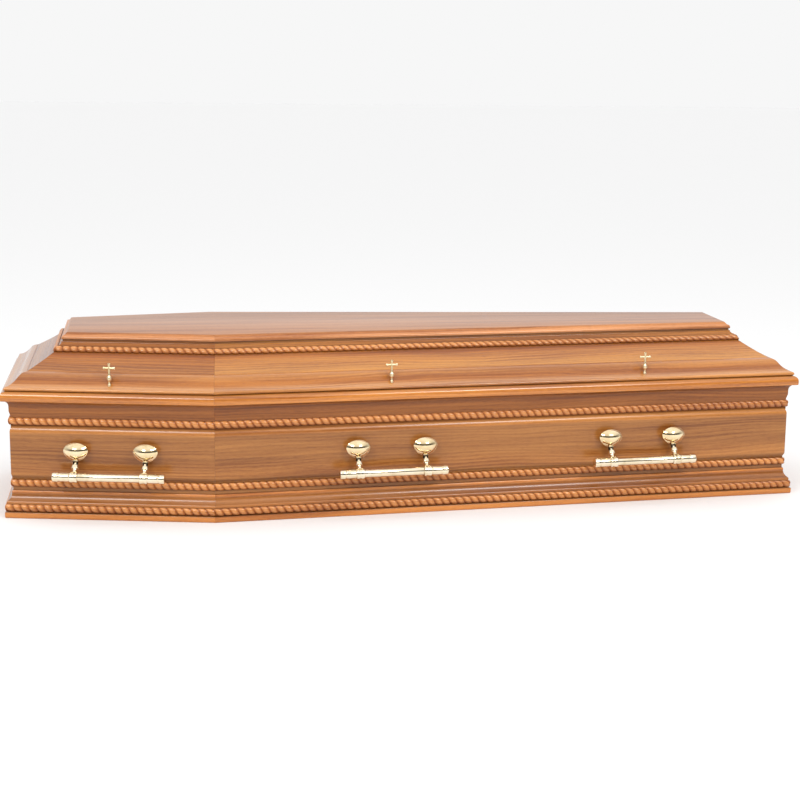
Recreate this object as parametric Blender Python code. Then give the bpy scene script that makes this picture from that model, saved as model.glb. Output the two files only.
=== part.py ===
"""Shouldered wooden coffin with raised panels, rope mouldings, drop-bar handles and cross-headed
lid screws.  Metres, +Z up.  The head end faces -X, the foot end +X.  The side at -Y is called the
right side and the side at +Y the left side, as of someone lying in it.  The coffin rests on its
plinth at z = 0, and the origin is under the middle of its length and width.
"""
import math

import bmesh
import bpy
from mathutils import Vector

# Plan, measured on the panel faces of the walls
LENGTH = 2.000
SHOULDER_FROM_HEAD = 0.494
HEAD_WIDTH = 0.480
SHOULDER_WIDTH = 0.680
FOOT_WIDTH = 0.432

# Clearance between touching pieces
GAP = 0.0003

# Walls, floor board and the depths of what is cut into the walls
WALL = 0.025
FLOOR_LIFT = 0.003
FLOOR_THICKNESS = 0.018
PANEL_HEIGHT = 0.1055
PANEL_TOP_BEVEL = 0.009
PANEL_UNDERCUT = 0.0105
LOWER_BAND_DEPTH = 0.004
UPPER_BAND_DEPTH = 0.003
FRIEZE_HEIGHT = 0.0318
CORNICE_COVE = 0.009
CORNICE_REACH = 0.0085

# Rope mouldings: flat-backed strips of slanted lobes
ROPE_WIDTH = 0.0185
ROPE_HEIGHT = 0.0065
ROPE_PITCH = 0.019
ROPE_SLANT = 0.007
ROPE_BASE = 0.0015
LID_ROPE_WIDTH = 0.0160
LID_ROPE_HEIGHT = 0.0058
LID_ROPE_LEAN = math.radians(38.0)

# Plain margins beside the ropes
LOWER_ROPE_MARGIN = 0.0083
LOWER_ROPE_HEADROOM = 0.0042
UPPER_ROPE_MARGIN = 0.0078
UPPER_ROPE_HEADROOM = 0.0103

# Plinth moulding
PLINTH_BACK = 0.008
PLINTH_REACH = 0.0170
PLINTH_TOE = 0.0030
BASE_FILLET = 0.0150
PLINTH_ROPE_SEAT = 0.0105
PLINTH_ROPE_MARGIN = 0.0010
PLINTH_FILLET = 0.0055
PLINTH_COVE = 0.0190
PLINTH_CAP = 0.0073

# Lid frame: rim board and ogee
RIM_HEIGHT = 0.0232
RIM_REACH = 0.0205
RIM_SHOULDER_REACH = 0.0195
RIM_TOP_REACH = 0.0100
QUIRK_DEPTH = 0.0027
QUIRK_HEIGHT = 0.0035
LIP_RUN = 0.0020
LIP_RISE = 0.0038
OGEE_RUN = 0.0513
OGEE_RISE = 0.0343
OGEE_WAVE = 0.0022
OGEE_SWELL = 0.0008
LEDGE = 0.0165

# Lid slopes, neck and top board
SLOPE_STEP = 0.0008
SLOPE_RUN = 0.0625
SLOPE_RISE = 0.0385
SLOPE_SAG = 0.0012
SLOPE_THICKNESS = 0.0165
NECK_MARGIN = 0.0012
NECK_RUN = 0.0078
NECK_RISE = 0.0100
NECK_GROOVE = 0.0070
NECK_GROOVE_HEIGHT = 0.0044
NECK_INSIDE = 0.0130
TOP_THICKNESS = 0.0173
TOP_LIP = 0.0060
TOP_BEVEL_RUN = 0.0140

# Handles: knobs on the walls and bars hung from them
KNOB_HEIGHT_ON_PANEL = 0.0645
KNOB_SPACING = 0.171
KNOB_WIDTH = 0.060
KNOB_DEPTH = 0.044
KNOB_FOOT_SHARE = 0.46
KNOB_RIM_OUT = 0.0185
KNOB_SHOULDER_OUT = 0.0280
KNOB_SHOULDER_SHARE = 0.68
KNOB_CROWN_OUT = 0.0330
SIDE_HANDLE_FROM_SHOULDER = 0.438
SIDE_HANDLE_FROM_FOOT = 0.412
PIVOT_OUT = 0.0218
PIVOT_DROP = 0.0304
PIN_RADIUS = 0.0018
PIVOT_PLAY = 0.0005
LUG_WIDTH = 0.0118
LUG_RADIUS = 0.0038
TONGUE = 0.0050
ARM_LENGTH = 0.0362
ARM_LEAN = math.radians(38.0)
BEAD_RADIUS = 0.0100
BEAD_LENGTH = 0.0076
ARM_RADIUS = 0.0062
BAR_LENGTH = 0.274
BAR_RADIUS = 0.0103
BAR_END_RADIUS = 0.0115
FERRULE_RADIUS = 0.0125
FERRULE_LENGTH = 0.014
COLLAR_RADIUS = 0.0138
COLLAR_WIDTH = 0.020
BAR_SIDES = 8
ARM_SIDES = 6
KNOB_SIDES = 8

# Cross-headed lid screws, standing on the ogee above the walls
CROSS_IN = 0.0090
CROSS_HEIGHT = 0.0545
CROSS_WIDTH = 0.0300
CROSS_ARM_AT = 0.0422
CROSS_STROKE = 0.0060
CROSS_THICKNESS = 0.0046
CROSS_BALL_AT = 0.0180
CROSS_BALL_RADIUS = 0.0062
CROSS_STEM_RADIUS = 0.0024
HEAD_CROSS_FROM_HEAD = 0.247
SIDE_CROSS_FROM_SHOULDER = 0.442
SIDE_CROSS_FROM_FOOT = 0.401

# Heights that follow from the sizes above
FLOOR_TOP = FLOOR_LIFT + FLOOR_THICKNESS
PLINTH_ROPE_Z = BASE_FILLET + PLINTH_ROPE_MARGIN + ROPE_WIDTH / 2
PLINTH_FILLET_Z = PLINTH_ROPE_Z + ROPE_WIDTH / 2 + PLINTH_ROPE_MARGIN
PLINTH_COVE_Z = PLINTH_FILLET_Z + PLINTH_FILLET
PLINTH_CAP_Z = PLINTH_COVE_Z + PLINTH_COVE
PLINTH_HEIGHT = PLINTH_CAP_Z + PLINTH_CAP
LOWER_ROPE_Z = PLINTH_HEIGHT + LOWER_ROPE_MARGIN + ROPE_WIDTH / 2
UNDERCUT_Z = LOWER_ROPE_Z + ROPE_WIDTH / 2 + LOWER_ROPE_HEADROOM
PANEL_Z = UNDERCUT_Z + PANEL_UNDERCUT
PANEL_TOP_Z = PANEL_Z + PANEL_HEIGHT
UPPER_BAND_Z = PANEL_TOP_Z + PANEL_TOP_BEVEL
UPPER_ROPE_Z = UPPER_BAND_Z + UPPER_ROPE_MARGIN + ROPE_WIDTH / 2
FRIEZE_Z = UPPER_ROPE_Z + ROPE_WIDTH / 2 + UPPER_ROPE_HEADROOM
BODY_HEIGHT = FRIEZE_Z + FRIEZE_HEIGHT
LID_Z = BODY_HEIGHT + GAP
LIP_Z = LID_Z + RIM_HEIGHT + QUIRK_HEIGHT
OGEE_Z = LIP_Z + LIP_RISE
OGEE_OUT = RIM_TOP_REACH - LIP_RUN
OGEE_TOP_Z = OGEE_Z + OGEE_RISE
OGEE_TOP_OUT = OGEE_OUT - OGEE_RUN
SLOPE_Z = OGEE_TOP_Z - SLOPE_STEP
SLOPE_OUT = OGEE_TOP_OUT - GAP
LEDGE_Z = SLOPE_Z - SLOPE_THICKNESS - GAP
NECK_OUT = SLOPE_OUT - SLOPE_RUN
NECK_Z = SLOPE_Z + SLOPE_RISE

HANDLE_COLOUR = (0.78, 0.64, 0.36, 1.0)


def plan_corners():
    """Corners of the panel faces, anticlockwise from the right corner of the head end."""
    head_x = -LENGTH / 2
    shoulder_x = head_x + SHOULDER_FROM_HEAD
    foot_x = LENGTH / 2
    right = [
        Vector((head_x, -HEAD_WIDTH / 2)),
        Vector((shoulder_x, -SHOULDER_WIDTH / 2)),
        Vector((foot_x, -FOOT_WIDTH / 2)),
    ]
    left = [Vector((p.x, -p.y)) for p in reversed(right)]
    return right + left


CORNERS = plan_corners()
SIDES = ("shoulder_right", "side_right", "foot", "side_left", "shoulder_left", "head")


def along(side):
    """Unit direction of a side, from its corner to the next."""
    return (CORNERS[(side + 1) % 6] - CORNERS[side]).normalized()


def outward(side):
    """Unit direction out of a side."""
    direction = along(side)
    return Vector((direction.y, -direction.x))


def side_length(side):
    """Length of a side's panel face."""
    return (CORNERS[(side + 1) % 6] - CORNERS[side]).length


def mitre(corner):
    """How far a corner moves for each metre that both its sides move out."""
    before = outward((corner - 1) % 6)
    after = outward(corner)
    return (before + after) / (1.0 + before.dot(after))


def corner_at(corner, out, z):
    """Point of a mitred corner, out from the panel faces."""
    flat = CORNERS[corner] + mitre(corner) * out
    return Vector((flat.x, flat.y, z))


def mitre_allowance(corner):
    """Length that a board loses at a corner so that half a gap is left across the mitre."""
    turn = outward((corner - 1) % 6).angle(outward(corner))
    return GAP / 2 / math.cos(turn / 2)


def material(name, colour, roughness, metallic=0.0):
    """Principled material with plain values."""
    made = bpy.data.materials.new(name)
    made.use_nodes = True
    shader = made.node_tree.nodes["Principled BSDF"]
    shader.inputs["Base Color"].default_value = colour
    shader.inputs["Roughness"].default_value = roughness
    shader.inputs["Metallic"].default_value = metallic
    return made


def mesh_object(name, points, faces, finish):
    """Closed mesh object with its faces turned outward."""
    mesh = bpy.data.meshes.new(name)
    mesh.from_pydata([tuple(p) for p in points], [], faces)
    work = bmesh.new()
    work.from_mesh(mesh)
    bmesh.ops.recalc_face_normals(work, faces=work.faces)
    work.to_mesh(mesh)
    work.free()
    mesh.materials.append(finish)
    made = bpy.data.objects.new(name, mesh)
    bpy.context.collection.objects.link(made)
    return made


def tube_faces(count, rings):
    """Faces of a closed tube of rings with the same number of points, with its two end caps."""
    faces = []
    for ring in range(rings - 1):
        for k in range(count):
            a = ring * count + k
            b = ring * count + (k + 1) % count
            faces.append((a, b, b + count, a + count))
    faces.append(tuple(range(count)))
    faces.append(tuple(range((rings - 1) * count, rings * count)))
    return faces


def mitred_board(name, side, section, finish):
    """Board along one side with this section of (out, z) points, mitred at both ends."""
    following = (side + 1) % 6
    direction = along(side).to_3d()
    start = [corner_at(side, out, z) + direction * mitre_allowance(side) for out, z in section]
    end = [corner_at(following, out, z) - direction * mitre_allowance(following) for out, z in section]
    return mesh_object(name, start + end, tube_faces(len(section), 2), finish)


def hexagon_stack(name, rings, finish):
    """Solid on the coffin's plan, through rings of (out, z)."""
    points = [corner_at(corner, out, z) for out, z in rings for corner in range(6)]
    return mesh_object(name, points, tube_faces(6, len(rings)), finish)


def cove(start, end, steps):
    """Points of a hollow quarter curve that leaves start level and meets end upright."""
    points = []
    for k in range(1, steps):
        turn = math.pi / 2 * k / steps
        out = start[0] + (end[0] - start[0]) * math.sin(turn)
        z = start[1] + (end[1] - start[1]) * (1.0 - math.cos(turn))
        points.append((out, z))
    return points


def plinth_section():
    """Section of the plinth moulding, with the seat of its rope."""
    fillet_out = PLINTH_ROPE_SEAT
    cove_foot = (fillet_out - PLINTH_ROPE_MARGIN, PLINTH_COVE_Z)
    cove_head = (-PLINTH_ROPE_MARGIN, PLINTH_CAP_Z)
    return [
        (-PLINTH_BACK, 0.0),
        (PLINTH_REACH - PLINTH_TOE, 0.0),
        (PLINTH_REACH, BASE_FILLET / 2),
        (PLINTH_REACH, BASE_FILLET),
        (fillet_out, BASE_FILLET),
        cove_foot,
        *cove(cove_foot, cove_head, 3),
        cove_head,
        (-LOWER_BAND_DEPTH, PLINTH_HEIGHT),
        (-PLINTH_BACK, PLINTH_HEIGHT),
    ]


def wall_section():
    """Section of a wall, from its foot on the floor board up to the lid."""
    back_of_plinth = -PLINTH_BACK - GAP
    cove_foot = (CORNICE_REACH / 4, BODY_HEIGHT - CORNICE_COVE)
    cove_head = (CORNICE_REACH, BODY_HEIGHT)
    return [
        (-WALL, FLOOR_TOP + GAP),
        (back_of_plinth, FLOOR_TOP + GAP),
        (back_of_plinth, PLINTH_HEIGHT + GAP),
        (-LOWER_BAND_DEPTH, PLINTH_HEIGHT + GAP),
        (-LOWER_BAND_DEPTH, UNDERCUT_Z),
        (0.0, PANEL_Z),
        (0.0, PANEL_TOP_Z),
        (-UPPER_BAND_DEPTH, UPPER_BAND_Z),
        (-UPPER_BAND_DEPTH, FRIEZE_Z),
        (0.0, FRIEZE_Z),
        cove_foot,
        *reversed(cove(cove_head, cove_foot, 2)),
        cove_head,
        (-WALL, BODY_HEIGHT),
    ]


def ogee(share):
    """Point of the lid's ogee, from its foot at 0 to its top at 1."""
    wave = OGEE_SWELL * math.sin(math.pi * share) - OGEE_WAVE * math.sin(2 * math.pi * share)
    return (OGEE_OUT - OGEE_RUN * share, OGEE_Z + OGEE_RISE * share + wave)


OGEE_SHARES = (0.0, 0.2, 0.4, 0.55, 0.68, 0.82, 1.0)


def lid_frame_section():
    """Section of the lid's frame: rim board, quirk, ogee and the ledge that carries a slope."""
    quirk_out = RIM_TOP_REACH - QUIRK_DEPTH
    return [
        (OGEE_TOP_OUT - LEDGE, LID_Z),
        (RIM_REACH - QUIRK_DEPTH, LID_Z),
        (RIM_REACH, LID_Z + RIM_HEIGHT / 3),
        (RIM_SHOULDER_REACH, LID_Z + RIM_HEIGHT * 2 / 3),
        (RIM_TOP_REACH, LID_Z + RIM_HEIGHT),
        (quirk_out, LID_Z + RIM_HEIGHT),
        (quirk_out, LIP_Z - QUIRK_DEPTH / 2),
        (RIM_TOP_REACH, LIP_Z),
        *[ogee(share) for share in OGEE_SHARES],
        (OGEE_TOP_OUT, LEDGE_Z),
        (OGEE_TOP_OUT - LEDGE, LEDGE_Z),
    ]


def lid_rope_seat():
    """Middle of the lid rope's seat, and the directions up along the seat and out of it."""
    up = Vector((-math.sin(LID_ROPE_LEAN), math.cos(LID_ROPE_LEAN)))
    out = Vector((math.cos(LID_ROPE_LEAN), math.sin(LID_ROPE_LEAN)))
    middle = Vector((NECK_OUT, NECK_Z)) + up * (NECK_MARGIN + LID_ROPE_WIDTH / 2)
    return middle, up, out


def neck_top():
    """Upper end of the rope's seat, where the neck's fillet starts."""
    middle, up, _ = lid_rope_seat()
    return middle + up * (LID_ROPE_WIDTH / 2 + NECK_MARGIN)


TOP_Z = neck_top().y + NECK_RISE + NECK_GROOVE_HEIGHT + GAP
TOP_OUT = neck_top().x - NECK_RUN


def lid_slope_section():
    """Section of a sloping lid board with the neck that carries the top board."""
    seat_end = neck_top()
    groove_out = TOP_OUT - NECK_GROOVE
    fillet_z = seat_end.y + NECK_RISE
    inside_out = groove_out - NECK_INSIDE
    end_out = SLOPE_OUT - LEDGE + GAP
    return [
        (end_out, LEDGE_Z + GAP),
        (SLOPE_OUT, LEDGE_Z + GAP),
        (SLOPE_OUT, SLOPE_Z),
        (SLOPE_OUT - SLOPE_RUN / 2, SLOPE_Z + SLOPE_RISE / 2 - SLOPE_SAG),
        (NECK_OUT, NECK_Z),
        tuple(seat_end),
        (TOP_OUT, fillet_z),
        (groove_out, fillet_z + GAP),
        (groove_out, TOP_Z - GAP),
        (inside_out, TOP_Z - GAP),
        (inside_out, NECK_Z),
    ]


def lid_top_rings():
    """Rings of the top board: underside, lip, moulded edge and upper face."""
    return [
        (TOP_OUT, TOP_Z),
        (TOP_OUT, TOP_Z + TOP_LIP),
        (TOP_OUT - TOP_BEVEL_RUN * 0.35, TOP_Z + TOP_THICKNESS * 0.49),
        (TOP_OUT - TOP_BEVEL_RUN * 0.79, TOP_Z + TOP_THICKNESS * 0.82),
        (TOP_OUT - TOP_BEVEL_RUN, TOP_Z + TOP_THICKNESS),
    ]


def rope_ring(name, seat, up, out, width, height, finish):
    """Rope moulding round all six sides, mitred at the corners, on a seat given as (out, z)."""
    half = width / 2
    low_back = seat - up * half + out * GAP
    high_back = seat + up * half + out * GAP
    low = seat - up * half + out * ROPE_BASE
    high = seat + up * half + out * ROPE_BASE
    crown = seat + out * height
    points = []
    faces = []

    def add(point):
        points.append(point)
        return len(points) - 1

    def corner_row(place):
        return [add(corner_at(corner, place.x, place.y)) for corner in range(6)]

    rows = {key: corner_row(place) for key, place in
            (("low_back", low_back), ("high_back", high_back), ("low", low), ("high", high))}

    def edge_point(side, place, run):
        """Point of a row, run metres along the side's panel face from its first corner."""
        flat = CORNERS[side] + along(side) * run + outward(side) * place.x
        return add(Vector((flat.x, flat.y, place.y)))

    for side in range(6):
        following = (side + 1) % 6
        direction = along(side)
        start = mitre(side).dot(direction) * crown.x
        length = side_length(side) + mitre(following).dot(direction) * crown.x - start
        lobes = max(1, round(length / ROPE_PITCH))
        pitch = length / lobes
        lows = [rows["low"][side]]
        highs = [rows["high"][side]]
        for k in range(1, lobes):
            lows.append(edge_point(side, low, start + pitch * k + ROPE_SLANT / 2))
            highs.append(edge_point(side, high, start + pitch * k - ROPE_SLANT / 2))
        lows.append(rows["low"][following])
        highs.append(rows["high"][following])
        for k in range(lobes):
            top = edge_point(side, crown, start + pitch * (k + 0.5))
            faces.append((lows[k], lows[k + 1], top))
            faces.append((lows[k + 1], highs[k + 1], top))
            faces.append((highs[k + 1], highs[k], top))
            faces.append((highs[k], lows[k], top))
        for row, back in ((lows, "low_back"), (highs, "high_back")):
            first = rows[back][side]
            last = rows[back][following]
            middle = lobes // 2
            for k in range(lobes):
                faces.append((row[k], row[k + 1], first if k < middle else last))
            faces.append((first, last, row[middle]))
        faces.append((rows["low_back"][side], rows["low_back"][following],
                      rows["high_back"][following], rows["high_back"][side]))
    return mesh_object(name, points, faces, finish)


def baked(made):
    """New mesh of an object with its modifiers applied."""
    graph = bpy.context.evaluated_depsgraph_get()
    graph.update()
    return bpy.data.meshes.new_from_object(made.evaluated_get(graph))


def combine(made, tool, operation):
    """Applies an exact boolean to an object and removes the tool."""
    step = made.modifiers.new("combine", "BOOLEAN")
    step.operation = operation
    step.solver = "EXACT"
    step.object = tool
    mesh = baked(made)
    made.modifiers.clear()
    made.data = mesh
    bpy.data.objects.remove(tool, do_unlink=True)


def subtract(made, tool):
    """Cuts the tool out of an object."""
    combine(made, tool, "DIFFERENCE")


def fused(parts, finish):
    """One mesh from overlapping helper objects, which are then removed."""
    base = parts[0]
    for tool in parts[1:]:
        combine(base, tool, "UNION")
    mesh = base.data
    mesh.materials.clear()
    mesh.materials.append(finish)
    bpy.data.objects.remove(base, do_unlink=True)
    return mesh


def lathe(name, rings, sides, origin, axis, across, finish):
    """Turned solid: rings of (distance along the axis, radius)."""
    third = axis.cross(across)
    points = []
    for run, radius in rings:
        for k in range(sides):
            turn = 2 * math.pi * (k + 0.5) / sides
            points.append(origin + axis * run + (across * math.cos(turn) + third * math.sin(turn)) * radius)
    return mesh_object(name, points, tube_faces(sides, len(rings)), finish)


def block(name, middle, axes, halves, finish):
    """Box given by its middle, three directions and its half sizes."""
    points = []
    for end in (-1, 1):
        for u, v in ((-1, -1), (1, -1), (1, 1), (-1, 1)):
            point = middle + axes[0] * halves[0] * end
            points.append(point + axes[1] * halves[1] * u + axes[2] * halves[2] * v)
    return mesh_object(name, points, tube_faces(4, 2), finish)


# Fittings are modelled with X along the wall, -Y out of it and Z up
RIGHT = Vector((1.0, 0.0, 0.0))
OUT = Vector((0.0, -1.0, 0.0))
UP = Vector((0.0, 0.0, 1.0))


def handle_mesh(finish):
    """Bar with ferrules, collars and two arms with tongues; the origin is on the pivot axis."""
    down_arm = OUT * math.sin(ARM_LEAN) - UP * math.cos(ARM_LEAN)
    through_arm = down_arm.cross(RIGHT)
    half = BAR_LENGTH / 2
    collar = COLLAR_WIDTH / 2
    arm_x = KNOB_SPACING / 2
    step = (COLLAR_RADIUS - BAR_RADIUS) / 2
    one_end = [
        (half, FERRULE_RADIUS),
        (half - FERRULE_LENGTH, FERRULE_RADIUS),
        (arm_x + collar + step, BAR_END_RADIUS),
        (arm_x + collar, COLLAR_RADIUS),
        (arm_x - collar, COLLAR_RADIUS),
        (arm_x - collar - step, BAR_RADIUS),
    ]
    bar_rings = [(-x, r) for x, r in one_end] + list(reversed(one_end))
    bar_middle = down_arm * ARM_LENGTH
    parts = [lathe("bar", bar_rings, BAR_SIDES, bar_middle, RIGHT, down_arm, finish)]
    bead_start = LUG_RADIUS + 2 * PIVOT_PLAY
    bead_end = bead_start + BEAD_LENGTH
    tongue_line = [(bead_start + PIVOT_PLAY, -LUG_RADIUS), (0.0, -LUG_RADIUS)]
    tongue_line += [(-LUG_RADIUS * math.cos(turn), LUG_RADIUS * math.sin(turn))
                    for turn in (math.radians(-30), math.radians(30))]
    tongue_line += [(run, -across) for run, across in reversed(tongue_line[:2])]
    bore_rings = [(-TONGUE, PIN_RADIUS + PIVOT_PLAY), (TONGUE, PIN_RADIUS + PIVOT_PLAY)]
    for end in (-1, 1):
        foot = RIGHT * arm_x * end
        arm_rings = [
            (bead_start, BEAD_RADIUS),
            (bead_end, BEAD_RADIUS),
            (bead_end + PIVOT_PLAY, ARM_RADIUS),
            (ARM_LENGTH - BAR_RADIUS / 2, ARM_RADIUS),
        ]
        parts.append(lathe("arm", arm_rings, ARM_SIDES, foot, down_arm, RIGHT, finish))
        points = [foot + RIGHT * TONGUE / 2 * cheek + down_arm * run + through_arm * across
                  for cheek in (-1, 1) for run, across in tongue_line]
        tongue = mesh_object("tongue", points, tube_faces(len(tongue_line), 2), finish)
        subtract(tongue, lathe("bore", bore_rings, ARM_SIDES, foot, RIGHT, OUT, finish))
        parts.append(tongue)
    return fused(parts, finish)


def knob_mesh(finish):
    """Oval domed knob with a slotted lug and the pin across it; the origin is on the panel face."""
    dome_rings = (
        (GAP, KNOB_FOOT_SHARE),
        (KNOB_RIM_OUT, 1.0),
        (KNOB_SHOULDER_OUT, KNOB_SHOULDER_SHARE),
    )
    points = []
    for run, share in dome_rings:
        for k in range(KNOB_SIDES):
            turn = 2 * math.pi * k / KNOB_SIDES
            wide = RIGHT * math.cos(turn) * KNOB_WIDTH / 2
            high = UP * math.sin(turn) * KNOB_DEPTH / 2
            points.append(OUT * run + (wide + high) * share)
    faces = tube_faces(KNOB_SIDES, len(dome_rings))
    last_ring = faces.pop()
    points.append(OUT * KNOB_CROWN_OUT)
    crown = len(points) - 1
    for k, here in enumerate(last_ring):
        faces.append((here, last_ring[(k + 1) % KNOB_SIDES], crown))
    dome = mesh_object("dome", points, faces, finish)
    pivot = OUT * PIVOT_OUT - UP * PIVOT_DROP
    round_end = [pivot + (OUT * math.cos(turn) + UP * math.sin(turn)) * LUG_RADIUS
                 for turn in (math.radians(a) for a in (-140, -55, 30))]
    root = KNOB_DEPTH * KNOB_FOOT_SHARE / 2
    outline = [
        OUT * KNOB_RIM_OUT / 3 - UP * root,
        OUT * (PIVOT_OUT - 3 * LUG_RADIUS) - UP * KNOB_DEPTH / 2,
        *round_end,
        OUT * (PIVOT_OUT - LUG_RADIUS) - UP * (KNOB_DEPTH / 2 - LUG_RADIUS),
    ]
    points = [p + RIGHT * LUG_WIDTH / 2 * end for end in (-1, 1) for p in outline]
    lug = mesh_object("lug", points, tube_faces(len(outline), 2), finish)
    slot_half = TONGUE / 2 + PIVOT_PLAY
    slot_halves = (slot_half, PIVOT_OUT, LUG_RADIUS + 2 * PIVOT_PLAY)
    subtract(lug, block("slot", pivot, (RIGHT, OUT, UP), slot_halves, finish))
    pin_half = (slot_half + LUG_WIDTH / 2) / 2
    pin_line = [(-pin_half, PIN_RADIUS), (pin_half, PIN_RADIUS)]
    pin = lathe("pin", pin_line, ARM_SIDES, pivot, RIGHT, OUT, finish)
    return fused([lug, pin, dome], finish)


def lid_height_at(out):
    """Height of the ogee's facets at a distance out from the panel faces."""
    facets = [ogee(share) for share in OGEE_SHARES]
    for (near, low), (far, high) in zip(facets, facets[1:]):
        if far <= out <= near:
            return low + (high - low) * (near - out) / (near - far)
    return OGEE_TOP_Z


def cross_mesh(finish):
    """Cross on a stem with a ball, its foot cut to the slope; the origin is under it on the ogee."""
    arm = CROSS_WIDTH / 2
    half = CROSS_STROKE / 2
    stem = CROSS_STEM_RADIUS
    profile = [
        (stem, 0.0),
        (stem, CROSS_BALL_AT - CROSS_BALL_RADIUS),
        (CROSS_BALL_RADIUS, CROSS_BALL_AT),
        (stem, CROSS_BALL_AT + CROSS_BALL_RADIUS),
        (half, CROSS_ARM_AT - half),
        (arm, CROSS_ARM_AT - half),
        (arm, CROSS_ARM_AT + half),
        (half, CROSS_ARM_AT + half),
        (half, CROSS_HEIGHT),
    ]
    outline = profile + [(-x, z) for x, z in reversed(profile)]
    points = []
    for end in (-1, 1):
        out = -CROSS_IN + CROSS_THICKNESS / 2 * end
        foot = lid_height_at(out) - lid_height_at(-CROSS_IN) + GAP
        for x, z in outline:
            points.append(RIGHT * x + OUT * CROSS_THICKNESS / 2 * end + UP * (z if z > 0 else foot))
    made = mesh_object("cross", points, tube_faces(len(outline), 2), finish)
    mesh = made.data
    bpy.data.objects.remove(made, do_unlink=True)
    return mesh


def place(name, mesh, side, run, out, z):
    """Puts a fitting on a side, run metres from the side's first corner."""
    made = bpy.data.objects.new(name, mesh)
    bpy.context.collection.objects.link(made)
    direction = along(side)
    flat = CORNERS[side] + direction * run + outward(side) * out
    made.location = (flat.x, flat.y, z)
    made.rotation_euler = (0.0, 0.0, math.atan2(direction.y, direction.x))
    return made


def stations(from_shoulder, from_foot, on_shoulder_wall):
    """Places of the three fittings on each flank: (flank, number, side, run from its first corner)."""
    shoulder_length = side_length(0)
    length = side_length(1)
    right = [(0, on_shoulder_wall), (1, from_shoulder), (1, length - from_foot)]
    mirrored = {0: (4, shoulder_length), 1: (3, length)}
    places = [("right", number, side, run) for number, (side, run) in enumerate(right, 1)]
    for number, (side, run) in enumerate(right, 1):
        other, reach = mirrored[side]
        places.append(("left", number, other, reach - run))
    return places


def clear_scene():
    """Removes whatever the scene held."""
    for item in list(bpy.data.objects):
        bpy.data.objects.remove(item, do_unlink=True)


def build_body():
    """Floor board, walls, plinth and the three rope mouldings of the body."""
    wall_wood = material("wall oak", (0.46, 0.185, 0.062, 1.0), 0.32)
    plinth_wood = material("plinth oak", (0.43, 0.165, 0.055, 1.0), 0.32)
    floor_wood = material("floor board wood", (0.50, 0.30, 0.15, 1.0), 0.6)
    rope_wood = material("rope oak", (0.56, 0.24, 0.09, 1.0), 0.35)
    edge = -PLINTH_BACK - GAP
    hexagon_stack("floor_board", [(edge, FLOOR_LIFT), (edge, FLOOR_TOP)], floor_wood)
    for side, label in enumerate(SIDES):
        mitred_board("wall_" + label, side, wall_section(), wall_wood)
        mitred_board("plinth_" + label, side, plinth_section(), plinth_wood)
    up = Vector((0.0, 1.0))
    out = Vector((1.0, 0.0))
    for name, seat_out, z in (
        ("rope_plinth", PLINTH_ROPE_SEAT, PLINTH_ROPE_Z),
        ("rope_lower", -LOWER_BAND_DEPTH, LOWER_ROPE_Z),
        ("rope_upper", -UPPER_BAND_DEPTH, UPPER_ROPE_Z),
    ):
        rope_ring(name, Vector((seat_out, z)), up, out, ROPE_WIDTH, ROPE_HEIGHT, rope_wood)


def build_lid():
    """Frame, sloping boards, rope moulding and top board of the lid."""
    frame_wood = material("lid frame oak", (0.52, 0.22, 0.075, 1.0), 0.28)
    slope_wood = material("lid slope oak", (0.50, 0.20, 0.07, 1.0), 0.28)
    top_wood = material("lid top oak", (0.50, 0.25, 0.12, 1.0), 0.22)
    rope_wood = material("lid rope oak", (0.56, 0.24, 0.09, 1.0), 0.35)
    for side, label in enumerate(SIDES):
        mitred_board("lid_frame_" + label, side, lid_frame_section(), frame_wood)
        mitred_board("lid_slope_" + label, side, lid_slope_section(), slope_wood)
    hexagon_stack("lid_top_board", lid_top_rings(), top_wood)
    rope_ring("rope_lid", *lid_rope_seat(), LID_ROPE_WIDTH, LID_ROPE_HEIGHT, rope_wood)


def build_fittings():
    """Knobs, swinging bar handles and cross-headed screws."""
    knob_brass = material("knob brass", HANDLE_COLOUR, 0.18, 1.0)
    bar_brass = material("handle brass", HANDLE_COLOUR, 0.15, 1.0)
    cross_brass = material("cross brass", HANDLE_COLOUR, 0.25, 1.0)
    knob = knob_mesh(knob_brass)
    handle = handle_mesh(bar_brass)
    cross = cross_mesh(cross_brass)
    knob_z = PANEL_Z + KNOB_HEIGHT_ON_PANEL
    middle = side_length(0) / 2
    for flank, number, side, run in stations(SIDE_HANDLE_FROM_SHOULDER, SIDE_HANDLE_FROM_FOOT, middle):
        label = f"{flank}_{number}"
        for suffix, shift in (("a", -KNOB_SPACING / 2), ("b", KNOB_SPACING / 2)):
            place(f"knob_{label}{suffix}", knob, side, run + shift, 0.0, knob_z)
        place("handle_" + label, handle, side, run, PIVOT_OUT, knob_z - PIVOT_DROP)
    cross_z = lid_height_at(-CROSS_IN)
    for flank, number, side, run in stations(SIDE_CROSS_FROM_SHOULDER, SIDE_CROSS_FROM_FOOT,
                                             HEAD_CROSS_FROM_HEAD):
        place(f"cross_{flank}_{number}", cross, side, run, -CROSS_IN, cross_z)


clear_scene()
build_body()
build_lid()
build_fittings()
bpy.context.view_layer.update()
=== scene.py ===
"""Looks of the shouldered coffin: lacquered boards, carved rope mouldings and polished brass.

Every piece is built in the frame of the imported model, in metres, and stands for the solid it covers.
X runs from the head end to the foot end, the photographed flank faces -Y and Z is up.
"""
import math

import bpy
import numpy as np
from mathutils import Matrix, Vector


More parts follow.
